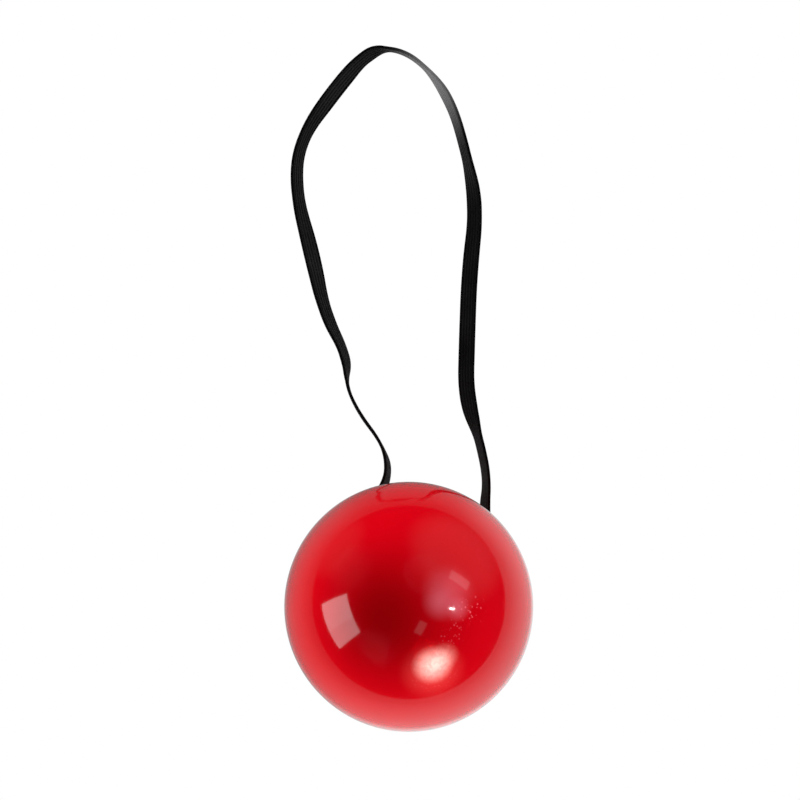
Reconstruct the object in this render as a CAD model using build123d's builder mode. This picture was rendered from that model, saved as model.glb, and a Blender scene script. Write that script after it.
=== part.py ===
from build123d import *

import os
from math import cos, hypot, radians, sin, sqrt, tan

# Light-up clown nose on a flat elastic band, in millimetres.
# +Z is the axis of the nose, pointing to its front, +Y is up on the wearer's face and +X is
# to one side. The origin is the centre of the back rim, which stands on Z = 0, and the band
# lies in a loose loop on the same surface, towards +Y.

# Ball: a round shell cut flat at the back, in two halves that meet at a seam.
BALL_RADIUS = 28.5
SHELL_WALL = 1.4
RIM_LAND = 1.8
SEAM_HEIGHT = 18.0
LIP_HEIGHT = 2.0
LIP_WALL = 0.9
LIP_ROOT = 1.5
SEAM_FIT = 0.05
RIM_FLANGE = 1.4

# Cup that takes the wearer's nose.
CUP_TAPER = 1.5
CUP_DEPTH = 16.0
CUP_WALL = 1.2
CUP_END_WALL = 1.4
COLLAR_CLEARANCE = 0.15
CUP_COLLAR_HEIGHT = 1.0
CUP_FIT = 0.05

# Button cells, and the bay that holds them side on.
CELL_RADIUS = 3.95
CELL_LENGTH = 3.6
CELL_CAP_RADIUS = 3.2
CELL_CAP_LENGTH = 0.6
CELL_COUNT = 3
CELL_CLEARANCE = 0.2
SPRING_ROOM = 2.7
BAY_Y = 3.0
BAY_WALL = 1.0
CONTACT_THICKNESS = 0.3
CONTACT_WIDTH = 6.4
CONTACT_HEIGHT = 6.0
TAIL_WIDTH = 1.6
LEAF_TAPER = 0.1
LEAF_ROOT = 0.6

# Battery door, its tongue and its screw.
DOOR_LEDGE = 0.75
DOOR_THICKNESS = 0.8
DOOR_CLEARANCE = 0.15
DOOR_CORNER = 0.8
DOOR_MARGIN = 0.5
TONGUE_WIDTH = 4.6
TONGUE_END = 2.2
SCREW_RADIUS = 0.8
SCREW_HEAD_RADIUS = 1.5
SCREW_HEAD_HEIGHT = 0.5
SCREW_FIT = 0.05
SLOT_LENGTH = 1.95
SLOT_WIDTH = 0.4
SLOT_DEPTH = 0.25
DOOR_SCREW_GAP = 2.75
DOOR_SCREW_LENGTH = 6.0

# Lamp housing and circuit board.
HOUSING_MARGIN = 0.7
HOUSING_WALL = 1.2
HOUSING_ROOF_GAP = 0.4
BOSS_RADIUS = 1.9
BOSS_GAP = 1.85
SIDE_BOSS_GAP_X = 5.1
SIDE_BOSS_GAP_Y = 3.5
BOSS_SCREW_LENGTH = 5.0
BOARD_MARGIN = 2.4
BOARD_THICKNESS = 1.0

# Push button and the switch that it works.
BUTTON_GAP_X = 1.2
BUTTON_GAP_Y = 1.8
BUTTON_RADIUS = 1.9
BUTTON_FIT = 0.08
BUTTON_PROUD = 0.8
BUTTON_TRAVEL = 0.5
BUTTON_FLANGE_RADIUS = 2.5
BUTTON_FLANGE = 0.8
BUTTON_REST_GAP = 0.05
SWITCH_SIDE = 4.5
SWITCH_HEIGHT = 3.2
PLUNGER_RADIUS = 1.0
PLUNGER_SINK = 0.6
PLUNGER_FIT = 0.08

# Lamps: four round light-emitting diodes on wire legs.
LED_COUNT = 4
LED_MARGIN = 0.4
LED_FIRST_ANGLE = -52.0
LED_RADIUS = 2.5
LED_FLANGE_RADIUS = 2.9
LED_FLANGE = 1.0
LED_HEIGHT = 8.6
LED_LIFT = 1.2
LEG_SIDE = 0.5
LEG_PITCH = 2.54

# Small parts on the board.
CHIP_RADIUS = 2.6
CHIP_HEIGHT = 1.2
CHIP_EDGE = 0.96
CHIP_PLACE = (-1.0, -2.0)
RESISTOR_RADIUS = 0.9
RESISTOR_LENGTH = 4.2
RESISTOR_PLACE = (2.0, 4.5)
RESISTOR_LEG_RADIUS = 0.25
RESISTOR_SPAN = 6.4

# Elastic band, standing on its edge, and its route from one stop to the other.
BAND_WIDTH = 4.0
BAND_THICKNESS = 0.8
BAND_SLOT_SIDE_ROOM = 0.5
BAND_SLOT_EDGE_ROOM = 0.4
STOP_LENGTH = 2.4
STOP_WIDTH = 2.6
STOP_HEIGHT = 4.6
BAND_ROUTE = [
    (-16.9, 0.8, 5.8),
    (-21.7, 9.2, 4.6),
    (-19.8, 18.8, 2.8),
    (-15.6, 25.2, 2.1),
    (-16.2, 31.8, 2.1),
    (-20.6, 37.0, 2.1),
    (-28.0, 41.8, 2.1),
    (-33.4, 47.2, 2.1),
    (-36.0, 53.8, 2.1),
    (-44.6, 62.4, 2.1),
    (-52.6, 75.2, 2.1),
    (-62.4, 89.3, 2.1),
    (-65.9, 102.0, 2.1),
    (-61.9, 118.2, 2.1),
    (-58.0, 128.6, 2.1),
    (-52.5, 132.0, 2.1),
    (-44.9, 130.6, 2.1),
    (-34.6, 124.0, 2.1),
    (-25.6, 112.5, 2.1),
    (-18.6, 100.4, 2.1),
    (-14.8, 84.5, 2.1),
    (-9.7, 67.5, 2.1),
    (-5.8, 55.0, 2.1),
    (1.4, 45.2, 2.1),
    (6.6, 37.4, 2.1),
    (9.0, 30.0, 2.1),
    (11.6, 23.8, 2.1),
    (18.2, 18.4, 2.8),
    (21.7, 9.2, 4.6),
    (16.9, 0.8, 5.8),
]
ARC_SHARE = 0.45

# Sizes that follow from those above.
BAY_HALF_LENGTH = (CELL_COUNT * CELL_LENGTH + SPRING_ROOM + CONTACT_THICKNESS) / 2
BAY_HALF_WIDTH = CELL_RADIUS + CELL_CLEARANCE
DOOR_HALF_LENGTH = BAY_HALF_LENGTH + DOOR_LEDGE
DOOR_HALF_WIDTH = BAY_HALF_WIDTH + DOOR_LEDGE
CUP_END_RADIUS = hypot(DOOR_HALF_LENGTH, BAY_Y + DOOR_HALF_WIDTH) + DOOR_MARGIN
CUP_MOUTH_RADIUS = CUP_END_RADIUS + CUP_TAPER
CUP_OUTER_RADIUS = CUP_MOUTH_RADIUS + CUP_WALL
CUP_TOP = CUP_DEPTH + CUP_END_WALL
RIM_RADIUS = CUP_OUTER_RADIUS + RIM_LAND
BALL_CENTRE = sqrt(BALL_RADIUS**2 - RIM_RADIUS**2)
INNER_RADIUS = BALL_RADIUS - SHELL_WALL
LIP_OUTER = INNER_RADIUS - SEAM_FIT
LIP_INNER = LIP_OUTER - LIP_WALL
COLLAR_RADIUS = sqrt(INNER_RADIUS**2 - (RIM_FLANGE - BALL_CENTRE) ** 2) - COLLAR_CLEARANCE
DOOR_SCREW_Y = BAY_Y - BAY_HALF_WIDTH - DOOR_SCREW_GAP
TONGUE_END_Y = DOOR_SCREW_Y - TONGUE_END
BUTTON_X = TONGUE_WIDTH / 2 + BUTTON_RADIUS + BUTTON_GAP_X
BUTTON_Y = BAY_Y - DOOR_HALF_WIDTH - BUTTON_RADIUS - BUTTON_GAP_Y
TOP_BOSS = (0, BAY_Y + DOOR_HALF_WIDTH + BOSS_GAP)
SIDE_BOSS = (-TONGUE_WIDTH / 2 - SIDE_BOSS_GAP_X, BAY_Y - DOOR_HALF_WIDTH - SIDE_BOSS_GAP_Y)
BOSS_PLACES = (TOP_BOSS, SIDE_BOSS)
CELL_CENTRE_Z = CUP_TOP + CELL_CLEARANCE / 2 + CELL_RADIUS
BAY_TOP = CELL_CENTRE_Z + CELL_RADIUS + CELL_CLEARANCE
HOUSING_RADIUS = CUP_END_RADIUS + HOUSING_MARGIN
HOUSING_TOP = BAY_TOP + BAY_WALL + HOUSING_ROOF_GAP
BOARD_RADIUS = HOUSING_RADIUS + BOARD_MARGIN
BOARD_TOP = HOUSING_TOP + BOARD_THICKNESS
SWITCH_BOTTOM = HOUSING_TOP - SWITCH_HEIGHT
FLANGE_BOTTOM = CUP_TOP + BUTTON_REST_GAP
POST_TOP = (FLANGE_BOTTOM + BUTTON_FLANGE + SWITCH_BOTTOM) / 2
LED_RING_RADIUS = BOARD_RADIUS - LED_FLANGE_RADIUS - LED_MARGIN
LED_BASE = BOARD_TOP + LED_LIFT


def ball_point(radius, height):
    """Profile point where a sphere about the ball's centre is at a height above the rim."""
    return (sqrt(radius**2 - (height - BALL_CENTRE) ** 2), height)


def ball_arc(radius, start, end):
    """Profile arc on a sphere about the ball's centre, from one height to another."""
    middle = (start + end) / 2
    return ThreePointArc(
        ball_point(radius, start), ball_point(radius, middle), ball_point(radius, end)
    )


def led_angles():
    """Angles of the lamps round the axis, in degrees."""
    return [LED_FIRST_ANGLE + 360 / LED_COUNT * index for index in range(LED_COUNT)]


def band_radii():
    """Radius at each corner of the band's route, as large as its two runs allow."""
    corners = [Vector(*point) for point in BAND_ROUTE]
    radii = []
    for before, corner, after in zip(corners, corners[1:], corners[2:]):
        coming = corner - before
        going = after - corner
        turn = radians(coming.get_angle(going))
        shorter = min(coming.length, going.length)
        radii.append(ARC_SHARE * shorter / tan(turn / 2))
    return radii


def end_plane(index, neighbour):
    """Plane square to the band at one end, facing along the band, its X level."""
    end = Vector(*BAND_ROUTE[index])
    along = Vector(*BAND_ROUTE[neighbour]) - end
    level = Vector(along.Y, -along.X, 0)
    return Plane(origin=end, x_dir=level, z_dir=along)


LEFT_END = end_plane(0, 1)
RIGHT_END = end_plane(-1, -2)
RADII = band_radii()
SLOT_RUNS = 3

os.makedirs("parts", exist_ok=True)

# Front dome: the part of the ball in front of the seam.
with BuildPart() as front_dome:
    with Locations((0, 0, BALL_CENTRE)):
        Sphere(BALL_RADIUS)
        Sphere(INNER_RADIUS, mode=Mode.SUBTRACT)
    split(bisect_by=Plane.XY.offset(SEAM_HEIGHT), keep=Keep.TOP)

# Rear shell: the part behind the seam, its lip inside the dome and its flat rim.
with BuildPart() as rear_shell:
    with BuildSketch(Plane.XZ) as rear_profile:
        with BuildLine():
            ball_arc(BALL_RADIUS, 0, SEAM_HEIGHT)
            Line(ball_point(BALL_RADIUS, SEAM_HEIGHT), ball_point(LIP_OUTER, SEAM_HEIGHT))
            ball_arc(LIP_OUTER, SEAM_HEIGHT, SEAM_HEIGHT + LIP_HEIGHT)
            Line(
                ball_point(LIP_OUTER, SEAM_HEIGHT + LIP_HEIGHT),
                ball_point(LIP_INNER, SEAM_HEIGHT + LIP_HEIGHT),
            )
            ball_arc(LIP_INNER, SEAM_HEIGHT + LIP_HEIGHT, SEAM_HEIGHT - LIP_ROOT)
            Line(
                ball_point(LIP_INNER, SEAM_HEIGHT - LIP_ROOT),
                ball_point(INNER_RADIUS, SEAM_HEIGHT - LIP_ROOT),
            )
            ball_arc(INNER_RADIUS, SEAM_HEIGHT - LIP_ROOT, RIM_FLANGE)
            Polyline(
                ball_point(INNER_RADIUS, RIM_FLANGE),
                (CUP_OUTER_RADIUS + CUP_FIT, RIM_FLANGE),
                (CUP_OUTER_RADIUS + CUP_FIT, 0),
                ball_point(BALL_RADIUS, 0),
            )
        make_face()
    revolve(axis=Axis.Z)
    for end, route, radii in (
        (LEFT_END, BAND_ROUTE, RADII),
        (RIGHT_END, BAND_ROUTE[::-1], RADII[::-1]),
    ):
        with BuildLine() as way_out:
            FilletPolyline(*route[: SLOT_RUNS + 1], radius=radii[: SLOT_RUNS - 1])
        with BuildSketch(end):
            Rectangle(
                BAND_THICKNESS + 2 * BAND_SLOT_SIDE_ROOM,
                BAND_WIDTH + 2 * BAND_SLOT_EDGE_ROOM,
            )
        sweep(path=way_out.wires()[0], mode=Mode.SUBTRACT)

# Nose cup: the hollow at the back, bonded into the rear shell by its collar.
with BuildPart() as nose_cup:
    with BuildSketch(Plane.XZ) as cup_profile:
        with BuildLine():
            Polyline(
                (CUP_MOUTH_RADIUS, 0),
                (CUP_OUTER_RADIUS, 0),
                (CUP_OUTER_RADIUS, RIM_FLANGE),
                (COLLAR_RADIUS, RIM_FLANGE),
                (COLLAR_RADIUS, RIM_FLANGE + CUP_COLLAR_HEIGHT),
                (CUP_OUTER_RADIUS, RIM_FLANGE + CUP_COLLAR_HEIGHT),
                (CUP_END_RADIUS + CUP_WALL, CUP_TOP),
                (0, CUP_TOP),
                (0, CUP_DEPTH),
                (CUP_END_RADIUS, CUP_DEPTH),
                close=True,
            )
        make_face()
    revolve(axis=Axis.Z)
    mouth = nose_cup.edges().filter_by(GeomType.CIRCLE).group_by(Axis.Z)[0].sort_by(SortBy.RADIUS)[0]
    fillet(mouth, CUP_WALL / 2)
    with BuildSketch(Plane.XY.offset(CUP_DEPTH)):
        with Locations((0, BAY_Y)):
            RectangleRounded(2 * DOOR_HALF_LENGTH, 2 * DOOR_HALF_WIDTH, DOOR_CORNER)
        with Locations((0, (BAY_Y + TONGUE_END_Y) / 2)):
            Rectangle(TONGUE_WIDTH, BAY_Y - TONGUE_END_Y)
    extrude(amount=DOOR_THICKNESS, mode=Mode.SUBTRACT)
    with BuildSketch(Plane.XY.offset(CUP_DEPTH)):
        with Locations((0, BAY_Y)):
            Rectangle(2 * BAY_HALF_LENGTH, 2 * BAY_HALF_WIDTH)
        with Locations((0, DOOR_SCREW_Y)):
            Circle(SCREW_RADIUS + SCREW_FIT)
        with Locations((BUTTON_X, BUTTON_Y)):
            Circle(BUTTON_RADIUS + BUTTON_FIT)
        with Locations(*BOSS_PLACES):
            Circle(SCREW_RADIUS)
    extrude(amount=CUP_END_WALL, mode=Mode.SUBTRACT)

# Lamp housing: a tub on the cup's end, with the battery bay and the screw bosses in it.
with BuildPart() as module_housing:
    with BuildSketch(Plane.XY.offset(CUP_TOP)):
        with Locations(*BOSS_PLACES):
            Circle(BOSS_RADIUS)
        with Locations((0, BAY_Y)):
            Rectangle(2 * (BAY_HALF_LENGTH + BAY_WALL), 2 * (BAY_HALF_WIDTH + BAY_WALL))
        with Locations((0, DOOR_SCREW_Y)):
            Circle(BOSS_RADIUS)
    extrude(amount=BAY_TOP + BAY_WALL - CUP_TOP)
    with BuildSketch(Plane.XY.offset(CUP_TOP)):
        Circle(HOUSING_RADIUS)
        Circle(HOUSING_RADIUS - HOUSING_WALL, mode=Mode.SUBTRACT)
        with Locations(*BOSS_PLACES):
            Circle(BOSS_RADIUS)
    extrude(amount=HOUSING_TOP - CUP_TOP)
    with BuildSketch(Plane.XY.offset(CUP_TOP)):
        Circle(HOUSING_RADIUS)
    extrude(amount=HOUSING_TOP - CUP_TOP, mode=Mode.INTERSECT)
    with BuildSketch(Plane.XY.offset(CUP_TOP)):
        with Locations((0, BAY_Y)):
            Rectangle(2 * BAY_HALF_LENGTH, 2 * BAY_HALF_WIDTH)
    extrude(amount=BAY_TOP - CUP_TOP, mode=Mode.SUBTRACT)
    with BuildSketch(Plane.XY.offset(BAY_TOP)):
        for side in (-1, 1):
            with Locations((side * (BAY_HALF_LENGTH - CONTACT_THICKNESS / 2), BAY_Y)):
                Rectangle(CONTACT_THICKNESS, TAIL_WIDTH)
    extrude(amount=BAY_WALL, mode=Mode.SUBTRACT)
    with BuildSketch(Plane.XY.offset(CUP_TOP)):
        with Locations((0, DOOR_SCREW_Y)):
            Circle(SCREW_RADIUS + SCREW_FIT)
    extrude(amount=DOOR_SCREW_LENGTH, mode=Mode.SUBTRACT)
    with BuildSketch(Plane.XY.offset(CUP_TOP)):
        with Locations(*BOSS_PLACES):
            Circle(SCREW_RADIUS)
    extrude(amount=HOUSING_TOP - CUP_TOP, mode=Mode.SUBTRACT)

# Circuit board: a disc on top of the housing.
with BuildPart() as circuit_board:
    with BuildSketch(Plane.XY.offset(HOUSING_TOP)):
        Circle(BOARD_RADIUS)
        with Locations(*BOSS_PLACES):
            Circle(SCREW_RADIUS, mode=Mode.SUBTRACT)
        for angle in led_angles():
            with PolarLocations(LED_RING_RADIUS, 1, start_angle=angle):
                with GridLocations(0, LEG_PITCH, 1, 2):
                    Rectangle(LEG_SIDE, LEG_SIDE, mode=Mode.SUBTRACT)
    extrude(amount=BOARD_THICKNESS)

# Lamps: each a round lens with a flange and a domed end.
for number, angle in enumerate(led_angles(), start=1):
    middle_x = LED_RING_RADIUS * cos(radians(angle))
    middle_y = LED_RING_RADIUS * sin(radians(angle))
    with BuildPart() as led:
        with BuildSketch(Plane((middle_x, middle_y, LED_BASE))):
            Circle(LED_FLANGE_RADIUS)
        extrude(amount=LED_FLANGE)
        with BuildSketch(Plane((middle_x, middle_y, LED_BASE))):
            Circle(LED_RADIUS)
        extrude(amount=LED_HEIGHT - LED_RADIUS)
        with Locations((middle_x, middle_y, LED_BASE + LED_HEIGHT - LED_RADIUS)):
            Sphere(LED_RADIUS)
    led.part.label = f"led_{number}"
    export_step(led.part, f"parts/led_{number}.step")

# Lamp legs: two square wires under each lamp, soldered into the board.
with BuildPart() as led_legs:
    with BuildSketch(Plane.XY.offset(HOUSING_TOP)):
        for angle in led_angles():
            with PolarLocations(LED_RING_RADIUS, 1, start_angle=angle):
                with GridLocations(0, LEG_PITCH, 1, 2):
                    Rectangle(LEG_SIDE, LEG_SIDE)
    extrude(amount=LED_BASE - HOUSING_TOP)

# Flasher chip: a round blob of resin on the board.
with BuildPart() as flasher_chip:
    with BuildSketch(Plane((CHIP_PLACE[0], CHIP_PLACE[1], BOARD_TOP))):
        Circle(CHIP_RADIUS)
    extrude(amount=CHIP_HEIGHT)
    fillet(flasher_chip.edges().group_by(Axis.Z)[-1], CHIP_EDGE)

# Resistor: a round body lying on the board on two bent legs.
with BuildPart() as resistor:
    with BuildSketch(
        Plane(
            (RESISTOR_PLACE[0] - RESISTOR_LENGTH / 2, RESISTOR_PLACE[1], BOARD_TOP + RESISTOR_RADIUS),
            x_dir=(0, 1, 0),
            z_dir=(1, 0, 0),
        )
    ):
        Circle(RESISTOR_RADIUS)
    extrude(amount=RESISTOR_LENGTH)
    fillet(resistor.edges().filter_by(GeomType.CIRCLE), RESISTOR_RADIUS / 3)
    with BuildLine():
        FilletPolyline(
            (RESISTOR_PLACE[0] - RESISTOR_SPAN / 2, RESISTOR_PLACE[1], BOARD_TOP),
            (RESISTOR_PLACE[0] - RESISTOR_SPAN / 2, RESISTOR_PLACE[1], BOARD_TOP + RESISTOR_RADIUS),
            (RESISTOR_PLACE[0] + RESISTOR_SPAN / 2, RESISTOR_PLACE[1], BOARD_TOP + RESISTOR_RADIUS),
            (RESISTOR_PLACE[0] + RESISTOR_SPAN / 2, RESISTOR_PLACE[1], BOARD_TOP),
            radius=2 * RESISTOR_LEG_RADIUS,
        )
    with BuildSketch(Plane((RESISTOR_PLACE[0] - RESISTOR_SPAN / 2, RESISTOR_PLACE[1], BOARD_TOP))):
        Circle(RESISTOR_LEG_RADIUS)
    sweep()

# Switch body: a square block under the board, with a well for its plunger.
with BuildPart() as switch_body:
    with BuildSketch(Plane((BUTTON_X, BUTTON_Y, SWITCH_BOTTOM))):
        Rectangle(SWITCH_SIDE, SWITCH_SIDE)
    extrude(amount=SWITCH_HEIGHT)
    with BuildSketch(Plane((BUTTON_X, BUTTON_Y, SWITCH_BOTTOM))):
        Circle(PLUNGER_RADIUS + PLUNGER_FIT)
    extrude(amount=PLUNGER_SINK + 2 * BUTTON_TRAVEL, mode=Mode.SUBTRACT)

# Push button: its end in the cup, its flange behind the cup's end wall and its post.
with BuildPart() as push_button:
    with BuildSketch(Plane((BUTTON_X, BUTTON_Y, CUP_DEPTH - BUTTON_PROUD))):
        Circle(BUTTON_RADIUS)
    extrude(amount=POST_TOP - CUP_DEPTH + BUTTON_PROUD)
    fillet(push_button.edges().group_by(Axis.Z)[0], BUTTON_PROUD / 2)
    with BuildSketch(Plane((BUTTON_X, BUTTON_Y, FLANGE_BOTTOM))):
        Circle(BUTTON_FLANGE_RADIUS)
    extrude(amount=BUTTON_FLANGE)

# Switch plunger: stands on the button's post and slides in the switch's well.
with BuildPart() as switch_plunger:
    with BuildSketch(Plane((BUTTON_X, BUTTON_Y, POST_TOP))):
        Circle(PLUNGER_RADIUS)
    extrude(amount=SWITCH_BOTTOM + PLUNGER_SINK - POST_TOP)

# Button cells: a stack lying along X, pressed against the plate at +X.
CELL_STACK_END = BAY_HALF_LENGTH - CONTACT_THICKNESS
for number in range(1, CELL_COUNT + 1):
    cell_end = CELL_STACK_END - (number - 1) * CELL_LENGTH
    with BuildPart() as battery_cell:
        with BuildSketch(
            Plane((cell_end, BAY_Y, CELL_CENTRE_Z), x_dir=(0, 1, 0), z_dir=(-1, 0, 0))
        ):
            Circle(CELL_RADIUS)
        extrude(amount=CELL_LENGTH - CELL_CAP_LENGTH)
        fillet(battery_cell.edges().filter_by(GeomType.CIRCLE), CELL_CAP_LENGTH / 3)
        with BuildSketch(
            Plane((cell_end, BAY_Y, CELL_CENTRE_Z), x_dir=(0, 1, 0), z_dir=(-1, 0, 0))
        ):
            Circle(CELL_CAP_RADIUS)
        extrude(amount=CELL_LENGTH)
    battery_cell.part.label = f"battery_cell_{number}"
    export_step(battery_cell.part, f"parts/battery_cell_{number}.step")

# Contact plate: flat against the bay's +X end, with a tail up to the board.
with BuildPart() as contact_plate:
    with BuildSketch(
        Plane((CELL_STACK_END, BAY_Y, CELL_CENTRE_Z), x_dir=(0, 1, 0), z_dir=(1, 0, 0))
    ):
        Rectangle(CONTACT_WIDTH, CONTACT_HEIGHT)
        with Locations((0, (HOUSING_TOP - CELL_CENTRE_Z) / 2)):
            Rectangle(TAIL_WIDTH, HOUSING_TOP - CELL_CENTRE_Z)
    extrude(amount=CONTACT_THICKNESS)

# Contact spring: a folded leaf at the bay's -X end, with a tail up to the board.
LEAF_FOOT_X = -BAY_HALF_LENGTH
LEAF_TIP_X = CELL_STACK_END - CELL_COUNT * CELL_LENGTH
with BuildPart() as contact_spring:
    with BuildSketch(Plane.XZ.offset(-BAY_Y)):
        with BuildLine():
            Polyline(
                (LEAF_FOOT_X, HOUSING_TOP),
                (LEAF_FOOT_X, CELL_CENTRE_Z - CONTACT_HEIGHT / 2),
                (LEAF_FOOT_X + CONTACT_THICKNESS, CELL_CENTRE_Z - CONTACT_HEIGHT / 2),
                (LEAF_TIP_X, CELL_CENTRE_Z),
                (LEAF_TIP_X - SPRING_ROOM / 3, CELL_CENTRE_Z + CONTACT_HEIGHT / 3),
                (LEAF_TIP_X - SPRING_ROOM / 3 - CONTACT_THICKNESS, CELL_CENTRE_Z + CONTACT_HEIGHT / 3),
                (LEAF_TIP_X - CONTACT_THICKNESS - LEAF_TAPER, CELL_CENTRE_Z),
                (LEAF_FOOT_X + CONTACT_THICKNESS, CELL_CENTRE_Z - CONTACT_HEIGHT / 2 + LEAF_ROOT),
                (LEAF_FOOT_X + CONTACT_THICKNESS, HOUSING_TOP),
                close=True,
            )
        make_face()
    extrude(amount=TAIL_WIDTH / 2, both=True)

# Battery door: a plate with a pad that fills the bay's mouth and a tongue for its screw.
with BuildPart() as battery_door:
    with BuildSketch(Plane.XY.offset(CUP_DEPTH)):
        with Locations((0, BAY_Y)):
            RectangleRounded(
                2 * (DOOR_HALF_LENGTH - DOOR_CLEARANCE),
                2 * (DOOR_HALF_WIDTH - DOOR_CLEARANCE),
                DOOR_CORNER - DOOR_CLEARANCE,
            )
        with Locations((0, (BAY_Y + TONGUE_END_Y + DOOR_CLEARANCE) / 2)):
            Rectangle(
                TONGUE_WIDTH - 2 * DOOR_CLEARANCE, BAY_Y - TONGUE_END_Y - DOOR_CLEARANCE
            )
    extrude(amount=DOOR_THICKNESS - DOOR_CLEARANCE)
    with BuildSketch(Plane.XY.offset(CUP_DEPTH)):
        with Locations((0, BAY_Y)):
            Rectangle(
                2 * (BAY_HALF_LENGTH - DOOR_CLEARANCE), 2 * (BAY_HALF_WIDTH - DOOR_CLEARANCE)
            )
    extrude(amount=CUP_END_WALL - DOOR_CLEARANCE)
    with BuildSketch(Plane.XY.offset(CUP_DEPTH)):
        with Locations((0, DOOR_SCREW_Y)):
            Circle(SCREW_RADIUS + SCREW_FIT)
    extrude(amount=CUP_END_WALL, mode=Mode.SUBTRACT)


def screw(x, y, head_face, direction, length):
    """Cross-head screw whose head starts at a face and whose shank runs along Z."""
    away = Plane((x, y, head_face), x_dir=(1, 0, 0), z_dir=(0, 0, direction))
    with BuildPart() as piece:
        with BuildSketch(away.offset(-SCREW_HEAD_HEIGHT)):
            Circle(SCREW_HEAD_RADIUS)
        extrude(amount=SCREW_HEAD_HEIGHT)
        fillet(piece.edges().sort_by(Axis.Z, reverse=direction < 0)[0], SCREW_HEAD_HEIGHT / 3)
        with BuildSketch(away):
            Circle(SCREW_RADIUS)
        extrude(amount=length)
        with BuildSketch(away.offset(-SCREW_HEAD_HEIGHT)):
            Rectangle(SLOT_LENGTH, SLOT_WIDTH)
            Rectangle(SLOT_WIDTH, SLOT_LENGTH)
        extrude(amount=SLOT_DEPTH, mode=Mode.SUBTRACT)
    return piece.part


# Screws: one in the door, two up through the cup's end and two down through the board.
door_screw = screw(0, DOOR_SCREW_Y, CUP_DEPTH - SCREW_FIT, 1, DOOR_SCREW_LENGTH)
housing_screws = Compound(
    children=[screw(x, y, CUP_DEPTH, 1, BOSS_SCREW_LENGTH) for x, y in BOSS_PLACES]
)
board_screws = Compound(
    children=[screw(x, y, BOARD_TOP, -1, BOSS_SCREW_LENGTH) for x, y in BOSS_PLACES]
)

# Elastic band: a flat strip on its edge, and the stop crimped on each end inside the shell.
with BuildPart() as elastic_band:
    with BuildLine() as band_path:
        FilletPolyline(*BAND_ROUTE, radius=RADII)
    with BuildSketch(LEFT_END):
        Rectangle(BAND_THICKNESS, BAND_WIDTH)
    sweep(path=band_path.wires()[0])

with BuildPart() as band_stop_left:
    with BuildSketch(LEFT_END):
        Rectangle(STOP_WIDTH, STOP_HEIGHT)
    extrude(amount=-STOP_LENGTH)
    fillet(band_stop_left.edges().filter_by(Axis(LEFT_END.origin, LEFT_END.z_dir)), STOP_WIDTH / 6)

with BuildPart() as band_stop_right:
    with BuildSketch(RIGHT_END):
        Rectangle(STOP_WIDTH, STOP_HEIGHT)
    extrude(amount=-STOP_LENGTH)
    fillet(band_stop_right.edges().filter_by(Axis(RIGHT_END.origin, RIGHT_END.z_dir)), STOP_WIDTH / 6)

path_length = sum(edge.length for edge in band_path.edges())
print("band radii", [round(radius, 1) for radius in RADII])
print("band length", round(path_length, 1))
print("band volume", round(elastic_band.part.volume, 1))
print("section times length", round(BAND_WIDTH * BAND_THICKNESS * path_length, 1))

PIECES = {
    "front_dome": front_dome.part,
    "rear_shell": rear_shell.part,
    "nose_cup": nose_cup.part,
    "module_housing": module_housing.part,
    "circuit_board": circuit_board.part,
    "led_legs": led_legs.part,
    "flasher_chip": flasher_chip.part,
    "resistor": resistor.part,
    "switch_body": switch_body.part,
    "push_button": push_button.part,
    "switch_plunger": switch_plunger.part,
    "contact_plate": contact_plate.part,
    "contact_spring": contact_spring.part,
    "battery_door": battery_door.part,
    "door_screw": door_screw,
    "housing_screws": housing_screws,
    "board_screws": board_screws,
    "elastic_band": elastic_band.part,
    "band_stop_left": band_stop_left.part,
    "band_stop_right": band_stop_right.part,
}
for node, piece in PIECES.items():
    piece.label = node
    export_step(piece, f"parts/{node}.step")
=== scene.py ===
from math import cos, pi, radians, sin, sqrt

import bpy
from mathutils import Matrix, Vector


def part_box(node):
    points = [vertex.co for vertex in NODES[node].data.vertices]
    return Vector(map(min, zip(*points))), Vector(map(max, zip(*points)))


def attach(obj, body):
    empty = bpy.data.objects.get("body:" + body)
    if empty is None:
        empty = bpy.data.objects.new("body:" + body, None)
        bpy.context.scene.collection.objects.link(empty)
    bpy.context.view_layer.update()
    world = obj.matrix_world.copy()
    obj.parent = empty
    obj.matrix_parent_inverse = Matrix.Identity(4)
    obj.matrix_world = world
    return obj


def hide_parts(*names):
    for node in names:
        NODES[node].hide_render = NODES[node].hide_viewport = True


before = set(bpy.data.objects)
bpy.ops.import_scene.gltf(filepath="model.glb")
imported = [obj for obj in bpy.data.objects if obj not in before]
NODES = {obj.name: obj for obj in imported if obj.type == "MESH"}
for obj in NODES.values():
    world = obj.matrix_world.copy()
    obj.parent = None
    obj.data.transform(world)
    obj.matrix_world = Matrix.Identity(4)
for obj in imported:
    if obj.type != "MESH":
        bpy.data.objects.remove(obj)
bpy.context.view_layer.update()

# The ball, measured from the frame, in metres.
DOME_LOW, DOME_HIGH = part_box("front_dome")
SHELL_LOW, SHELL_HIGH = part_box("rear_shell")
BALL_RADIUS = (DOME_HIGH.x - DOME_LOW.x) / 2
BALL_CENTRE = Vector((0, 0, DOME_HIGH.z - BALL_RADIUS))
SHELL_WALL = 0.0014
SEAM_HEIGHT = DOME_LOW.z
COLLAR_PAST_OPENING = 0.00115
RIM_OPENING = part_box("nose_cup")[1].x - COLLAR_PAST_OPENING

# Camera and studio: the nose lies on its back on a white table and is seen from above.
VIEW_TURN = radians(20)
VIEW_TILT = radians(84.5)
VIEW_DISTANCE = 0.5115
LENS = 100
SENSOR = 36
AIM_ACROSS = -0.0021
AIM_ALONG = 0.0526
TABLE_RADIUS = 0.285
TABLE_DROP = 0.00002

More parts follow.
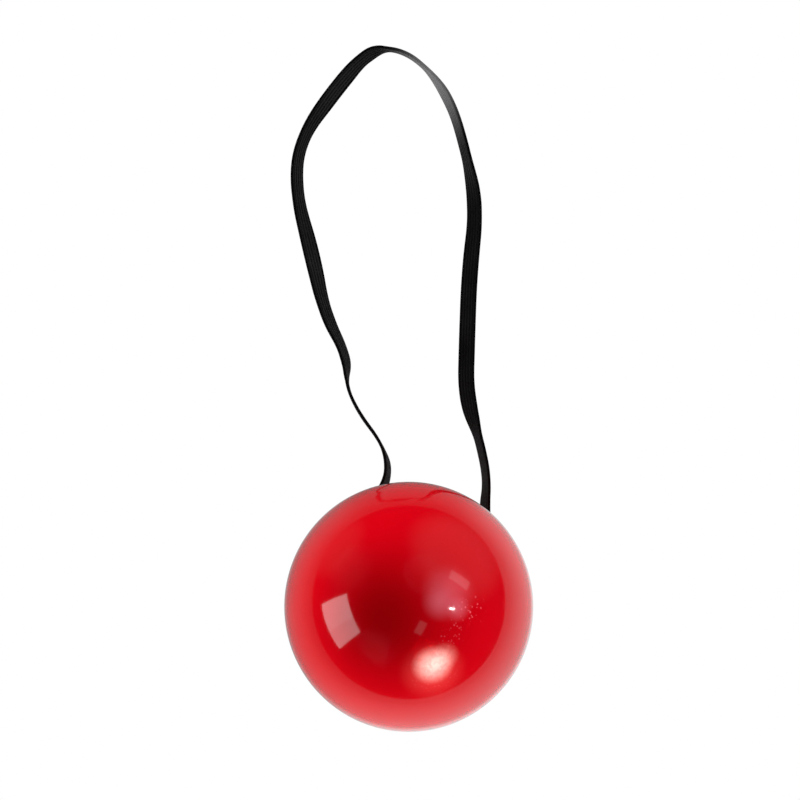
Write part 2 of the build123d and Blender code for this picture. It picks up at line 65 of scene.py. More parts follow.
# Where the ball mirrors each light, in ball radii across and up as the camera sees it.
WINDOW_PLACE = (-0.535, -0.11)
FAR_WINDOW_PLACE = (0.39, 0.20)
LOW_WINDOW_PLACE = (0.09, -0.165)
SPARK_PLACE = (0.33, -0.02)

# Elastic band: its route's points, and how far its width leans out from upright at each.
BAND_WIDTH = 0.004
BAND_THICKNESS = 0.0008
RIB_COUNT = 6
RIB_HEIGHT = 0.00005
WEFT_PITCH = 0.0007
BAND_ROUTE = [
    ((-0.0169, 0.0008, 0.0058), 0),
    ((-0.0217, 0.0092, 0.0046), 0),
    ((-0.0198, 0.0188, 0.0028), 10),
    ((-0.0161, 0.0250, 0.0021), 26),
    ((-0.0164, 0.0317, 0.0021), 18),
    ((-0.0206, 0.0370, 0.0021), 4),
    ((-0.0280, 0.0418, 0.0021), 2),
    ((-0.0334, 0.0472, 0.0021), 3),
    ((-0.0356, 0.0540, 0.0020), 34),
    ((-0.0446, 0.0624, 0.0017), 50),
    ((-0.0526, 0.0752, 0.0009), 78),
    ((-0.0624, 0.0893, 0.0015), 48),
    ((-0.0659, 0.1020, 0.0017), 40),
    ((-0.0619, 0.1182, 0.0009), 76),
    ((-0.0580, 0.1286, 0.0017), 40),
    ((-0.0527, 0.1322, 0.0021), -8),
    ((-0.0445, 0.1313, 0.0021), -4),
    ((-0.0342, 0.1245, 0.0019), 27),
    ((-0.0256, 0.1125, 0.0019), 30),
    ((-0.0186, 0.1004, 0.0011), 66),
    ((-0.0148, 0.0845, 0.0006), 86),
    ((-0.0094, 0.0676, 0.0006), 86),
    ((-0.0053, 0.0552, 0.0009), 80),
    ((0.0018, 0.0454, 0.0019), 24),
    ((0.0066, 0.0374, 0.0020), 24),
    ((0.0085, 0.0298, 0.0021), 34),
    ((0.0116, 0.0238, 0.0021), 20),
    ((0.0182, 0.0184, 0.0028), 10),
    ((0.0217, 0.0092, 0.0046), 0),
    ((0.0169, 0.0008, 0.0058), 0),
]


# ---------------------------------------------------------------- shader nodes


class Number:
    """A number on a shader socket, for sums written out as expressions."""

    def __init__(self, tree, socket):
        self.tree = tree
        self.socket = socket

    def combine(self, operation, first, second=None):
        made = self.tree.nodes.new("ShaderNodeMath")
        made.operation = operation
        for place, value in enumerate((first, second)):
            if isinstance(value, Number):
                self.tree.links.new(value.socket, made.inputs[place])
            elif value is not None:
                made.inputs[place].default_value = value
        return Number(self.tree, made.outputs[0])

    def __add__(self, other):
        return self.combine("ADD", self, other)

    __radd__ = __add__

    def __mul__(self, other):
        return self.combine("MULTIPLY", self, other)

    __rmul__ = __mul__

    def __sub__(self, other):
        return self.combine("SUBTRACT", self, other)

    def __rsub__(self, other):
        return self.combine("SUBTRACT", other, self)

    def __abs__(self):
        return self.combine("ABSOLUTE", self)

    def sine(self):
        return self.combine("SINE", self)


class Nodes:
    """The nodes of a material or a world, and the one way that they are added."""

    def __init__(self, owner):
        owner.use_nodes = True
        self.tree = owner.node_tree

    def plug(self, socket, value):
        if isinstance(value, Number):
            self.tree.links.new(value.socket, socket)
        elif isinstance(value, bpy.types.NodeSocket):
            self.tree.links.new(value, socket)
        elif isinstance(value, tuple) and len(value) == 3 and socket.type == "RGBA":
            socket.default_value = (*value, 1)
        else:
            socket.default_value = value

    def node(self, kind, settings=None, inputs=None):
        made = self.tree.nodes.new(kind)
        for key, value in (settings or {}).items():
            setattr(made, key, value)
        for key, value in (inputs or {}).items():
            self.plug(made.inputs[key], value)
        return made

    def number(self, kind, output, settings=None, inputs=None):
        made = self.node(kind, settings, inputs)
        return Number(self.tree, made.outputs[output])

    def place(self):
        return self.node("ShaderNodeTexCoord").outputs["Object"]

    def axis(self, vector, letter):
        return self.number("ShaderNodeSeparateXYZ", letter, inputs={"Vector": vector})

    def noise(self, vector, scale, detail=3, roughness=0.5):
        return self.number(
            "ShaderNodeTexNoise",
            "Fac",
            inputs={"Vector": vector, "Scale": scale, "Detail": detail, "Roughness": roughness},
        )

    def span(self, value, low, high, to_low=0.0, to_high=1.0):
        """value between low and high, spread smoothly over to_low to to_high."""
        return self.number(
            "ShaderNodeMapRange",
            "Result",
            {"interpolation_type": "SMOOTHSTEP"},
            {
                "Value": value,
                "From Min": low,
                "From Max": high,
                "To Min": to_low,
                "To Max": to_high,
            },
        )

    def fade(self, value, start, end):
        """1 up to start, falling smoothly to 0 at end."""
        return self.span(value, start, end, 1.0, 0.0)

    def blend(self, factor, first, second):
        made = self.node("ShaderNodeMix", {"data_type": "RGBA"}, {0: factor, 6: first, 7: second})
        return made.outputs[2]

    def reach(self, vector, direction):
        """How far a vector goes in a direction."""
        return self.number(
            "ShaderNodeVectorMath",
            "Value",
            {"operation": "DOT_PRODUCT"},
            {0: vector, 1: tuple(direction)},
        )

    def distance(self, vector, point):
        return self.number(
            "ShaderNodeVectorMath",
            "Value",
            {"operation": "DISTANCE"},
            {0: vector, 1: tuple(point)},
        )

    def spot(self, vector, point, start, end):
        """1 near a point, fading to 0 between two distances from it."""
        return self.fade(self.distance(vector, point), start, end)


class Light(Nodes):
    """A material or a world that gives light and isn't part of the object."""

    def __init__(self, owner):
        super().__init__(owner)
        self.tree.nodes.clear()

    def choose(self, ray, otherwise, chosen):
        """One number for a kind of ray, and another for all the rest."""
        chance = self.number("ShaderNodeLightPath", ray)
        return chance * (chosen - otherwise) + otherwise

    def show(self, shader, out="ShaderNodeOutputMaterial"):
        self.plug(self.node(out).inputs["Surface"], shader)


class Finish(Nodes):
    """A material in the making, round its one shader."""

    def __init__(self, name, **constants):
        self.material = bpy.data.materials.new(name)
        super().__init__(self.material)
        self.shader = self.tree.nodes["Principled BSDF"]
        for socket, value in constants.items():
            self.set(socket.replace("_", " "), value)

    def set(self, socket, value):
        self.plug(self.shader.inputs[socket], value)

    def bump(self, height, strength, depth):
        inputs = {"Height": height, "Strength": strength, "Distance": depth}
        made = self.node("ShaderNodeBump", inputs=inputs)
        self.set("Normal", made.outputs["Normal"])


# ---------------------------------------------------------------- camera, table and light


ACROSS = Vector((cos(VIEW_TURN), sin(VIEW_TURN), 0))
ALONG = Vector((-sin(VIEW_TURN), cos(VIEW_TURN), 0))
OUTWARD = sin(VIEW_TILT) * Vector((0, 0, 1)) - cos(VIEW_TILT) * ALONG
UPWARD = cos(VIEW_TILT) * Vector((0, 0, 1)) + sin(VIEW_TILT) * ALONG
EYE = BALL_CENTRE + VIEW_DISTANCE * OUTWARD


def add_camera():
    """Camera at the view's angle, looking a little past the ball along the band."""
    forward = (AIM_ACROSS * ACROSS + AIM_ALONG * ALONG - EYE).normalized()
    right = forward.cross(ALONG).normalized()
    up = right.cross(forward)
    data = bpy.data.cameras.new("camera")
    data.lens = LENS
    data.sensor_width = SENSOR
    data.clip_start = 0.01
    camera = bpy.data.objects.new("camera", data)
    bpy.context.scene.collection.objects.link(camera)
    camera.matrix_world = Matrix((right, up, -forward)).transposed().to_4x4()
    camera.location = EYE
    bpy.context.scene.camera = camera


def facing(across, up):
    """Outward direction at a place on the ball, given as the camera sees it, in radii."""
    return across * ACROSS + up * UPWARD + sqrt(1 - across**2 - up**2) * OUTWARD


def mirrored_at(place, distance):
    """Where a light stands so that the ball mirrors it at a place, and which way it is."""
    normal = facing(*place)
    point = BALL_CENTRE + BALL_RADIUS * normal
    view = (EYE - point).normalized()
    away = 2 * normal.dot(view) * normal - view
    return point + distance * away, away


# How strongly the table lights the ball, shows in its gloss, and shows to the camera.
TABLE_LIGHT_BRIGHT = 3.6
TABLE_LIGHT_DIM = 1.9
TABLE_BRIGHT_SIDE = radians(-10)
TABLE_SIDE_SPAN = (-0.6, 0.7)
TABLE_GLOSS_BRIGHT = 0.50
TABLE_GLOSS_DIM = 0.22
TABLE_GLOSS_NEAR = 0.05
TABLE_GLOSS_FAR = 0.20
TABLE_GLOSS_FADE = 0.55
TABLE_EDGE_START = 0.25
TABLE_EDGE_END = 0.285
TABLE_EDGE_SPAN = (0.0, 0.7)
TABLE_BEHIND = 0.62
TABLE_BEHIND_SPAN = (0.75, 0.97)
TABLE_FOOT = 0.034
TABLE_FOOT_SPAN = (0.004, 0.010)
TABLE_FOOT_GLOSS = 1.5

# Shade that the far end of the band throws on the table, as the ball's gloss shows it.
BAND_SHADE_ALONG = 0.136
BAND_SHADE_ACROSS = -0.002
BAND_SHADE_DEPTH_SPAN = (0.009, 0.017)
BAND_SHADE_WIDTH_SPAN = (0.015, 0.028)
BAND_SHADE = 0.95

# The pale walls that the ball mirrors on its upper right and, fainter, on its upper left.
WALL_TURN = radians(65)
WALL_RISE = radians(25)
WALL_GLOSS = 0.16
LEFT_WALL_TURN = radians(160)
LEFT_WALL_GLOSS = 0.09
WALL_SPAN = (0.70, 0.95)
LEFT_WALL_SPAN = (0.90, 1.0)
ROOM_GLOSS = 0.002

WINDOW_DISTANCE = 0.55
WINDOW_SHADE_SPAN = (0.08, 0.09)


def add_table():
    """Round white table top, dimmer in the gloss further out, and clear from below."""
    bpy.ops.mesh.primitive_circle_add(
        vertices=128, radius=TABLE_RADIUS, fill_type="NGON", location=(0, 0, -TABLE_DROP)
    )
    table = bpy.context.object
    table.name = "table"
    material = bpy.data.materials.new("table_white")
    light = Light(material)
    place = light.place()
    away = light.node("ShaderNodeVectorMath", {"operation": "NORMALIZE"}, {0: place})
    away = away.outputs["Vector"]
    run = light.distance(place, (0, 0, 0))
    turn = light.reach(away, (cos(TABLE_BRIGHT_SIDE), sin(TABLE_BRIGHT_SIDE), 0))
    side = light.span(turn, *TABLE_SIDE_SPAN, TABLE_GLOSS_DIM, TABLE_GLOSS_BRIGHT)
    fade = light.span(run, TABLE_GLOSS_NEAR, TABLE_GLOSS_FAR, 1.0, TABLE_GLOSS_FADE)
    behind = light.span(light.reach(away, ALONG), *TABLE_BEHIND_SPAN, 1.0, TABLE_BEHIND)
    edge_level = light.fade(light.reach(away, ALONG), *TABLE_EDGE_SPAN)
    edge = light.span(run, TABLE_EDGE_START, TABLE_EDGE_END, 1.0, edge_level)
    off_along = abs(light.reach(place, ALONG) - BAND_SHADE_ALONG)
    off_across = abs(light.reach(place, ACROSS) - BAND_SHADE_ACROSS)
    far_shade = light.fade(off_along, *BAND_SHADE_DEPTH_SPAN)
    far_shade = far_shade * light.fade(off_across, *BAND_SHADE_WIDTH_SPAN)
    foot = light.span(abs(run - TABLE_FOOT), *TABLE_FOOT_SPAN, TABLE_FOOT_GLOSS, 1.0)
    diffuse = light.span(turn, *TABLE_SIDE_SPAN, TABLE_LIGHT_DIM, TABLE_LIGHT_BRIGHT)
    gloss = side * fade * behind * edge * foot * (1 - far_shade * BAND_SHADE)
    level = light.choose("Is Glossy Ray", diffuse, gloss)
    level = light.choose("Is Camera Ray", level, 1.0)
    glow = light.node("ShaderNodeEmission", inputs={"Strength": level})
    clear = light.node("ShaderNodeBsdfTransparent")
    under = light.node("ShaderNodeNewGeometry").outputs["Backfacing"]
    sides = {0: under, 1: glow.outputs[0], 2: clear.outputs[0]}
    light.show(light.node("ShaderNodeMixShader", inputs=sides).outputs[0])
    table.data.materials.append(material)


def add_window(name, place, size, roll, strength, shade=1.0):
    """Flat window that faces the ball, seen only in its gloss; shade dims one end."""
    centre, away = mirrored_at(place, WINDOW_DISTANCE)
    bpy.ops.mesh.primitive_plane_add(size=1)
    window = bpy.context.object
    window.name = name
    window.scale = (*size, 1)
    window.location = centre
    turn = away.to_track_quat("Z", "Y").to_matrix() @ Matrix.Rotation(roll, 3, "Z")
    window.rotation_euler = turn.to_euler()
    material = bpy.data.materials.new(name)
    light = Light(material)
    run = light.axis(light.place(), "X")
    level = light.span(run, *WINDOW_SHADE_SPAN, strength, strength * shade)
    inputs = {"Color": (1, 0.97, 0.98), "Strength": level}
    light.show(light.node("ShaderNodeEmission", inputs=inputs).outputs[0])
    window.data.materials.append(material)
    window.visible_camera = False
    window.visible_diffuse = False


def add_fill(name, place, size, power):
    """Soft lamp aimed at the ball, left out of its gloss."""
    data = bpy.data.lights.new(name, "AREA")
    data.shape = "DISK"
    data.size = size
    data.energy = power
    lamp = bpy.data.objects.new(name, data)
    lamp.location = place
    away = Vector(place) - BALL_CENTRE
    lamp.rotation_euler = away.to_track_quat("Z", "Y").to_euler()
    lamp.visible_glossy = False
    lamp.visible_transmission = False
    bpy.context.scene.collection.objects.link(lamp)


def add_room():
    """Dark room with two pale walls in the gloss, white where it is seen directly."""
    world = bpy.data.worlds.new("room")
    light = Light(world)
    direction = light.node("ShaderNodeTexCoord").outputs["Generated"]
    wall = (
        cos(WALL_RISE) * cos(WALL_TURN),
        cos(WALL_RISE) * sin(WALL_TURN),
        sin(WALL_RISE),
    )
    left_wall = (cos(LEFT_WALL_TURN), sin(LEFT_WALL_TURN), 0)
    glow = light.span(light.reach(direction, wall), *WALL_SPAN, ROOM_GLOSS, WALL_GLOSS)
    left_reach = light.reach(direction, left_wall)
    glow = glow + light.span(left_reach, *LEFT_WALL_SPAN, 0.0, LEFT_WALL_GLOSS)
    level = light.choose("Is Camera Ray", glow, 1.0)
    inputs = {"Color": (1, 1, 1), "Strength": level}
    light.show(light.node("ShaderNodeBackground", inputs=inputs).outputs[0], "ShaderNodeOutputWorld")
    bpy.context.scene.world = world


add_camera()
add_table()
add_window("window", WINDOW_PLACE, (0.35, 0.30), radians(8), 2.3, shade=0.85)
add_window("far_window", FAR_WINDOW_PLACE, (0.19, 0.08), radians(40), 0.8)
add_window("low_window", LOW_WINDOW_PLACE, (0.07, 0.12), radians(-50), 0.35)
add_window("spark", SPARK_PLACE, (0.016, 0.045), radians(0), 30.0)
add_fill("top_fill", (0.05, 0.35, 0.75), 0.5, 5.4)
add_fill("front_fill", (-0.15, -0.55, 0.45), 0.4, 3.5)
add_fill("left_fill", (-0.55, 0.10, 0.30), 0.4, 1.3)
add_room()
bpy.context.scene.view_settings.view_transform = "Standard"


# ---------------------------------------------------------------- finishes


MOULD_GRAIN_SCALE = 900


def moulded(name, colour, second, roughness, grain=0.00004):
    """Moulded plastic: two close shades, slightly uneven gloss and a fine grain."""
    finish = Finish(name)
    place = finish.place()
    cloud = finish.noise(place, 90, 4)
    finish.set("Base Color", finish.blend(cloud, colour, second))
    finish.set("Roughness", roughness + (cloud - 0.5) * 0.2)
    finish.bump(finish.noise(place, MOULD_GRAIN_SCALE, 2), 0.35, grain)
    return finish


# How far below the face of a screw's head its cross slot starts to turn darker, where it is fully
# dark, and that dark colour.
SLOT_DARK_START = 0.00018
SLOT_DARK_FULL = 0.00023
SLOT_DARK = (0.020, 0.018, 0.016)


def metal(name, colour, tarnish, roughness, scale=(200, 3000, 3000), face=None):
    """Metal with fine rolled lines and a little tarnish, darker and not metallic in slots cut in a
    face.
    """
    finish = Finish(name, Metallic=1.0)
    place = finish.place()
    stretched = finish.node(
        "ShaderNodeMapping", {"vector_type": "POINT"}, {"Vector": place, "Scale": scale}
    ).outputs["Vector"]
    lines = finish.noise(stretched, 1.0, 2)
    stain = finish.span(finish.noise(place, 260, 4), 0.45, 0.75)
    shade = finish.blend(stain, colour, tarnish)
    if face is not None:
        # Darker and not metallic below the face, in the slots.
        depth = finish.axis(place, "Z") - face
        slot_dark = finish.span(depth, SLOT_DARK_START, SLOT_DARK_FULL)
        shade = finish.blend(slot_dark, shade, SLOT_DARK)
        finish.set("Metallic", 1 - slot_dark)
    finish.set("Base Color", shade)
    finish.set("Roughness", roughness + lines * 0.16 + stain * 0.12)
    finish.bump(lines, 0.2, 0.00002)
    return finish


def on_ball(turn, tilt):
    """Place on the ball's surface, by its turn round the axis and its tilt off it."""
    turn, tilt = radians(turn), radians(tilt)
    away = Vector((sin(tilt) * cos(turn), sin(tilt) * sin(turn), cos(tilt)))
    return BALL_CENTRE + BALL_RADIUS * away


# Places on the shell, as turn and tilt in degrees, where painted shade and painted light go.
# Painted shade: the shell is darker where the housing behind its wall keeps light from it.
HOUSING_SHADE = on_ball(240, 15)
# Painted glow where the lit lamp shines through the shell, with a wider painted halo.
HOT_SPOT = on_ball(-51, 34.5)
HOT_SPOT_SIDE = on_ball(-40, 33)
HOT_HALO = on_ball(-52, 38)
# Painted haze of light inside the shell, and a painted halo round the small highlight.
HAZE = on_ball(22, 18)
HAZE_LOW = on_ball(2, 14)
HIGHLIGHT_HALO = on_ball(4, 23)
# Dust specks on the shell, painted as glints of the lamp's light.
SPECKS = on_ball(8, 30)
SPECKS_LOW = on_ball(-22, 26)


def ball_plastic():
    """Glossy red shell with painted shade over the housing and painted glow from the lamps."""
    finish = Finish(
        "ball_plastic",
        IOR=1.49,
        Transmission_Weight=0.12,
        Coat_Weight=1.0,
        Coat_Roughness=0.015,
        Coat_IOR=1.5,
        Emission_Strength=1.0,
    )
    place = finish.place()
    cloud = finish.noise(place, 60, 4)
    fine = finish.noise(place, 520, 3)
    housing_shade_red = finish.blend(cloud, (0.21, 0.0, 0.0010), (0.27, 0.0, 0.0020))
    full = finish.blend(cloud, (0.72, 0.0006, 0.0060), (0.82, 0.0012, 0.0100))
    # Painted shade over the housing, fading to a brighter red towards the rim.
    out_of_housing_shade = finish.span(finish.distance(place, HOUSING_SHADE), 0.001, 0.025)
    finish.set("Base Color", finish.blend(out_of_housing_shade, housing_shade_red, full))
    finish.set("Roughness", 0.10 + (fine - 0.5) * 0.06)
    # Dust specks, painted lit as glints in the emission colour.
    cells = finish.number(
        "ShaderNodeTexVoronoi", "Distance", {"feature": "F1"}, {"Vector": place, "Scale": 1250.0}
    )
    picked = finish.span(finish.noise(place, 900, 1), 0.44, 0.54)
    speck_glint = finish.fade(cells, 0.16, 0.42) * picked
    # Painted glow of the lit lamp on the shell, mottled, and a painted halo round it.
    coarse = finish.noise(place, 1100, 2, 0.6)
    glow_mottle = finish.span(coarse, 0.30, 0.60, 0.78, 1.0)
    lamp_glow_spot = finish.spot(place, HOT_SPOT, 0.0, 0.0052)
    lamp_glow_side = finish.spot(place, HOT_SPOT_SIDE, 0.0, 0.0038)
    lamp_glow_halo = finish.spot(place, HOT_HALO, 0.001, 0.0084)
    # Painted haze, and a painted halo round the small highlight.
    glow_haze = finish.spot(place, HAZE, 0.0, 0.0072)
    glow_haze_low = finish.spot(place, HAZE_LOW, 0.0, 0.0044)
    highlight_halo = finish.spot(place, HIGHLIGHT_HALO, 0.0, 0.0034)
    dust_glint_near = finish.spot(place, SPECKS, 0.0015, 0.0042)
    dust_glint_low = finish.spot(place, SPECKS_LOW, 0.001, 0.0040)
    lamp_glow_core = (lamp_glow_spot * 0.95 + lamp_glow_side * 0.30) * glow_mottle
    painted_haze = glow_haze * 0.65 + glow_haze_low * 0.5 + highlight_halo * 0.7
    dust_glints = speck_glint * (dust_glint_near + dust_glint_low * 0.5 + lamp_glow_halo * 0.25)
    # Emission colour that is all painted light: lamp glow, its halo, haze and dust specks catching
    # light.
    red = lamp_glow_core * 0.95 + lamp_glow_halo * 0.24 + painted_haze * 0.12 + dust_glints * 0.22
    green = lamp_glow_core * 0.86 + lamp_glow_halo * 0.045 + painted_haze * 0.090 + dust_glints * 0.085
    blue = lamp_glow_core * 0.74 + lamp_glow_halo * 0.040 + painted_haze * 0.115 + dust_glints * 0.11
    glow = finish.node("ShaderNodeCombineColor", inputs={"Red": red, "Green": green, "Blue": blue})
    finish.set("Emission Color", glow.outputs["Color"])
    finish.bump(cloud, 0.01, 0.00001)
    return finish


def lamp_lens(name, strength):
    """Clear red lamp resin that glows all through when it is lit."""
    finish = Finish(
        name,
        IOR=1.5,
        Transmission_Weight=0.7,
        Coat_Weight=0.5,
        Emission_Strength=strength,
    )
    place = finish.place()
    cloud = finish.noise(place, 300, 3)
    finish.set("Base Color", finish.blend(cloud, (0.9, 0.10, 0.07), (0.8, 0.05, 0.04)))
    finish.set("Roughness", 0.12 + cloud * 0.1)
    finish.set("Emission Color", finish.blend(cloud, (1.0, 0.62, 0.50), (1.0, 0.50, 0.38)))
    return finish


LEG_RING_INNER = 0.0022
LEG_RING_OUTER = 0.0024


def board_mask():
    """Green solder mask with tinned rings where the lamps' legs come through."""
    finish = Finish("board_mask", Coat_Weight=0.3)
    place = finish.place()
    cloud = finish.noise(place, 400, 3)
    rings = 0.0
    board_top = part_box("circuit_board")[1].z
    for lamp in ("led_1", "led_2", "led_3", "led_4"):
        low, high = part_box(lamp)
        middle = ((low.x + high.x) / 2, (low.y + high.y) / 2, board_top)
        rings = finish.spot(place, middle, LEG_RING_INNER, LEG_RING_OUTER) + rings
    colour = finish.blend(cloud, (0.010, 0.085, 0.035), (0.016, 0.12, 0.05))
    tinned = finish.span(rings, 0.4, 0.6)
    finish.set("Base Color", finish.blend(tinned, colour, (0.62, 0.62, 0.60)))
    finish.set("Metallic", tinned * 0.9)
    finish.set("Roughness", 0.35 + cloud * 0.15)
    finish.bump(cloud, 0.2, 0.00003)
    return finish


# Rings on the resistor: how far along from its middle, and colour.
RESISTOR_RINGS = (
    (-0.0012, (0.3, 0.02, 0.01)),
    (-0.0005, (0.25, 0.09, 0.02)),
    (0.0002, (0.02, 0.02, 0.02)),
    (0.0012, (0.6, 0.4, 0.08)),
)


def resistor_paint():
    """Buff lacquer with coloured rings along the body, and tinned legs past its ends."""
    low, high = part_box("resistor")
    middle = (low.x + high.x) / 2
    finish = Finish("resistor_paint", Coat_Weight=0.3)
    place = finish.place()
    along = finish.axis(place, "X") - middle
    colour = (0.62, 0.47, 0.28)
    for offset, ring in RESISTOR_RINGS:
        inside = finish.fade(abs(along - offset), 0.00018, 0.00022)
        colour = finish.blend(inside, colour, ring)
    legs = finish.span(abs(along), 0.0020, 0.0021)
    finish.set("Base Color", finish.blend(legs, colour, (0.7, 0.7, 0.68)))
    finish.set("Metallic", legs)
    finish.set("Roughness", 0.32 + finish.noise(place, 500) * 0.1)
    return finish


# Stretch of the band, along its length, with a painted sheen, and where past it the band turns
# darker.
SHEEN_START = 0.150
SHEEN_MIDDLE = 0.165
SHEEN_END = 0.188
DARK_FROM = 0.205

# Bound edges, as shares of the band's width out from its middle.
BOUND_EDGE_SPAN = (0.33, 0.40)


def elastic_weave():
    """Black narrow elastic: ribs along its length, fine weft across, dark bound edges and a painted
    sheen.
    """
    finish = Finish(
        "elastic_weave", Specular_IOR_Level=0.18, Sheen_Weight=0.04, Sheen_Roughness=0.40
    )
    weave = finish.node("ShaderNodeUVMap", {"uv_map": "weave"}).outputs["UV"]
    across = finish.axis(weave, "Y")
    along = finish.axis(weave, "X")
    ribs = (across * (2 * pi * RIB_COUNT)).sine()
    weft = (along * (2 * pi / WEFT_PITCH)).sine()
    thread = ribs * 0.5 + 0.5
    fuzz = finish.noise(finish.place(), 2600, 3)
    # Painted sheen: a paler stretch where the band's face catches the light, its edges paler too.
    painted_sheen = finish.span(along, SHEEN_START, SHEEN_MIDDLE)
    painted_sheen = painted_sheen * finish.fade(along, SHEEN_MIDDLE, SHEEN_END)
    edge = finish.span(abs(across - 0.5), *BOUND_EDGE_SPAN) * (1 - painted_sheen * 0.85)
    patchy = finish.span(finish.noise(finish.place(), 70, 2), 0.35, 0.65)
    colour = finish.blend(thread, (0.0022, 0.0022, 0.0024), (0.0150, 0.0150, 0.0156))
    colour = finish.blend(finish.span(fuzz, 0.50, 0.80), colour, (0.018, 0.018, 0.019))
    dark = finish.span(along, SHEEN_END, DARK_FROM) * 0.65 + (1 - patchy) * 0.25
    colour = finish.blend(dark, colour, (0.0012, 0.0012, 0.0013))
    colour = finish.blend(painted_sheen * (0.70 + thread * 0.30), colour, (0.165, 0.165, 0.170))
    finish.set("Base Color", finish.blend(edge, colour, (0.0008, 0.0008, 0.0008)))
    finish.set("Roughness", 0.70 + fuzz * 0.2)
    finish.bump(thread * 0.6 + weft * 0.2 + fuzz * 0.3, 0.6, 0.00008)
    return finish


# ---------------------------------------------------------------- making and placing pieces


def settle(piece, name):
    """Puts the object's place into its mesh and gives it its name."""
    bpy.ops.object.select_all(action="DESELECT")
    piece.select_set(True)
    bpy.context.view_layer.objects.active = piece
    bpy.ops.object.transform_apply(location=True, rotation=True, scale=True)
    piece.name = name
    piece.data.name = name


def finish_with(piece, kind, **settings):
    """Adds one modifier and applies it."""
    bpy.context.view_layer.objects.active = piece
    modifier = piece.modifiers.new(kind.title(), kind)
    for key, value in settings.items():
        setattr(modifier, key, value)
    bpy.ops.object.modifier_apply(modifier=modifier.name)


def smooth(piece, angle=40):
    """Smooth shading with the sharp edges kept."""
    bpy.ops.object.select_all(action="DESELECT")
    piece.select_set(True)
    bpy.context.view_layer.objects.active = piece
    bpy.ops.object.shade_smooth_by_angle(angle=radians(angle))


def new_sphere():
    """A fine sphere on the ball's surface, in edit mode with all of it selected."""
    bpy.ops.object.select_all(action="DESELECT")
    bpy.ops.mesh.primitive_uv_sphere_add(
        segments=160, ring_count=96, radius=BALL_RADIUS, location=BALL_CENTRE
    )
    piece = bpy.context.object
    bpy.ops.object.transform_apply(location=True, rotation=True, scale=True)
    bpy.ops.object.mode_set(mode="EDIT")
    bpy.ops.mesh.select_all(action="SELECT")
    return piece


def keep_side(height, above):
    """Cuts what is selected level at a height and keeps the part above or below."""
    bpy.ops.mesh.select_all(action="SELECT")
    bpy.ops.mesh.bisect(
        plane_co=(0, 0, height),
        plane_no=(0, 0, 1),
        use_fill=False,
        clear_inner=above,
        clear_outer=not above,
    )


SEAM_GROOVE = 0.00004
EDGE_BREAK = 0.00012


def make_front_dome(finish):
    """Front of the ball: a sphere cut at the seam, with its wall inside."""
    piece = new_sphere()
    keep_side(SEAM_HEIGHT + SEAM_GROOVE, above=True)
    bpy.ops.object.mode_set(mode="OBJECT")
    settle(piece, "ball_front")
    finish_with(piece, "SOLIDIFY", thickness=SHELL_WALL, offset=-1)
    finish_with(piece, "BEVEL", width=EDGE_BREAK, segments=2, limit_method="ANGLE")
    smooth(piece)
    piece.data.materials.append(finish.material)
    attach(piece, "root")
    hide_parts("front_dome")


SLOT_CUT_LENGTH = 0.014
SLOT_ACROSS_ROOM = 0.0014
SLOT_ALONG_ROOM = 0.0008


def make_slot_cutter(index, neighbour):
    """Box along the band's way out through the shell."""
    start = Vector(BAND_ROUTE[index][0])
    along = (Vector(BAND_ROUTE[neighbour][0]) - start).normalized()
    bpy.ops.object.select_all(action="DESELECT")
    bpy.ops.mesh.primitive_cube_add(size=1, location=start + along * SLOT_CUT_LENGTH / 2)
    cutter = bpy.context.object
    cutter.scale = (
        BAND_THICKNESS + SLOT_ACROSS_ROOM,
        SLOT_CUT_LENGTH,
        BAND_WIDTH + SLOT_ALONG_ROOM,
    )
    cutter.rotation_mode = "QUATERNION"
    cutter.rotation_quaternion = along.to_track_quat("Y", "Z")
    return cutter


def make_rear_shell(finish):
    """Back of the ball: a spherical band with a flat rim turned in, and two strap slots."""
    piece = new_sphere()
    keep_side(SEAM_HEIGHT - SEAM_GROOVE, above=False)
    keep_side(SHELL_LOW.z + 0.00001, above=True)
    rim_radius = sqrt(BALL_RADIUS**2 - BALL_CENTRE.z**2)
    bpy.ops.mesh.select_all(action="DESELECT")
    bpy.ops.object.mode_set(mode="OBJECT")
    for edge in piece.data.edges:
        ends = [piece.data.vertices[index].co for index in edge.vertices]
        edge.select = all(end.z < SHELL_LOW.z + 0.0001 for end in ends)
    bpy.ops.object.mode_set(mode="EDIT")
    bpy.ops.mesh.extrude_edges_move()
    ratio = RIM_OPENING / rim_radius
    bpy.ops.transform.resize(value=(ratio, ratio, 1), center_override=(0, 0, 0))
    bpy.ops.object.mode_set(mode="OBJECT")
    settle(piece, "ball_rear")
    finish_with(piece, "SOLIDIFY", thickness=SHELL_WALL, offset=-1, use_even_offset=True)
    finish_with(piece, "BEVEL", width=EDGE_BREAK, segments=2, limit_method="ANGLE")
    for index, neighbour in ((0, 1), (-1, -2)):
        cutter = make_slot_cutter(index, neighbour)
        finish_with(piece, "BOOLEAN", operation="DIFFERENCE", object=cutter, solver="EXACT")
        bpy.data.objects.remove(cutter)
    smooth(piece)
    piece.data.materials.append(finish.material)
    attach(piece, "root")
    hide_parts("rear_shell")


# ---------------------------------------------------------------- the elastic band

BAND_STEPS = 24
SECTION_POINTS = 37


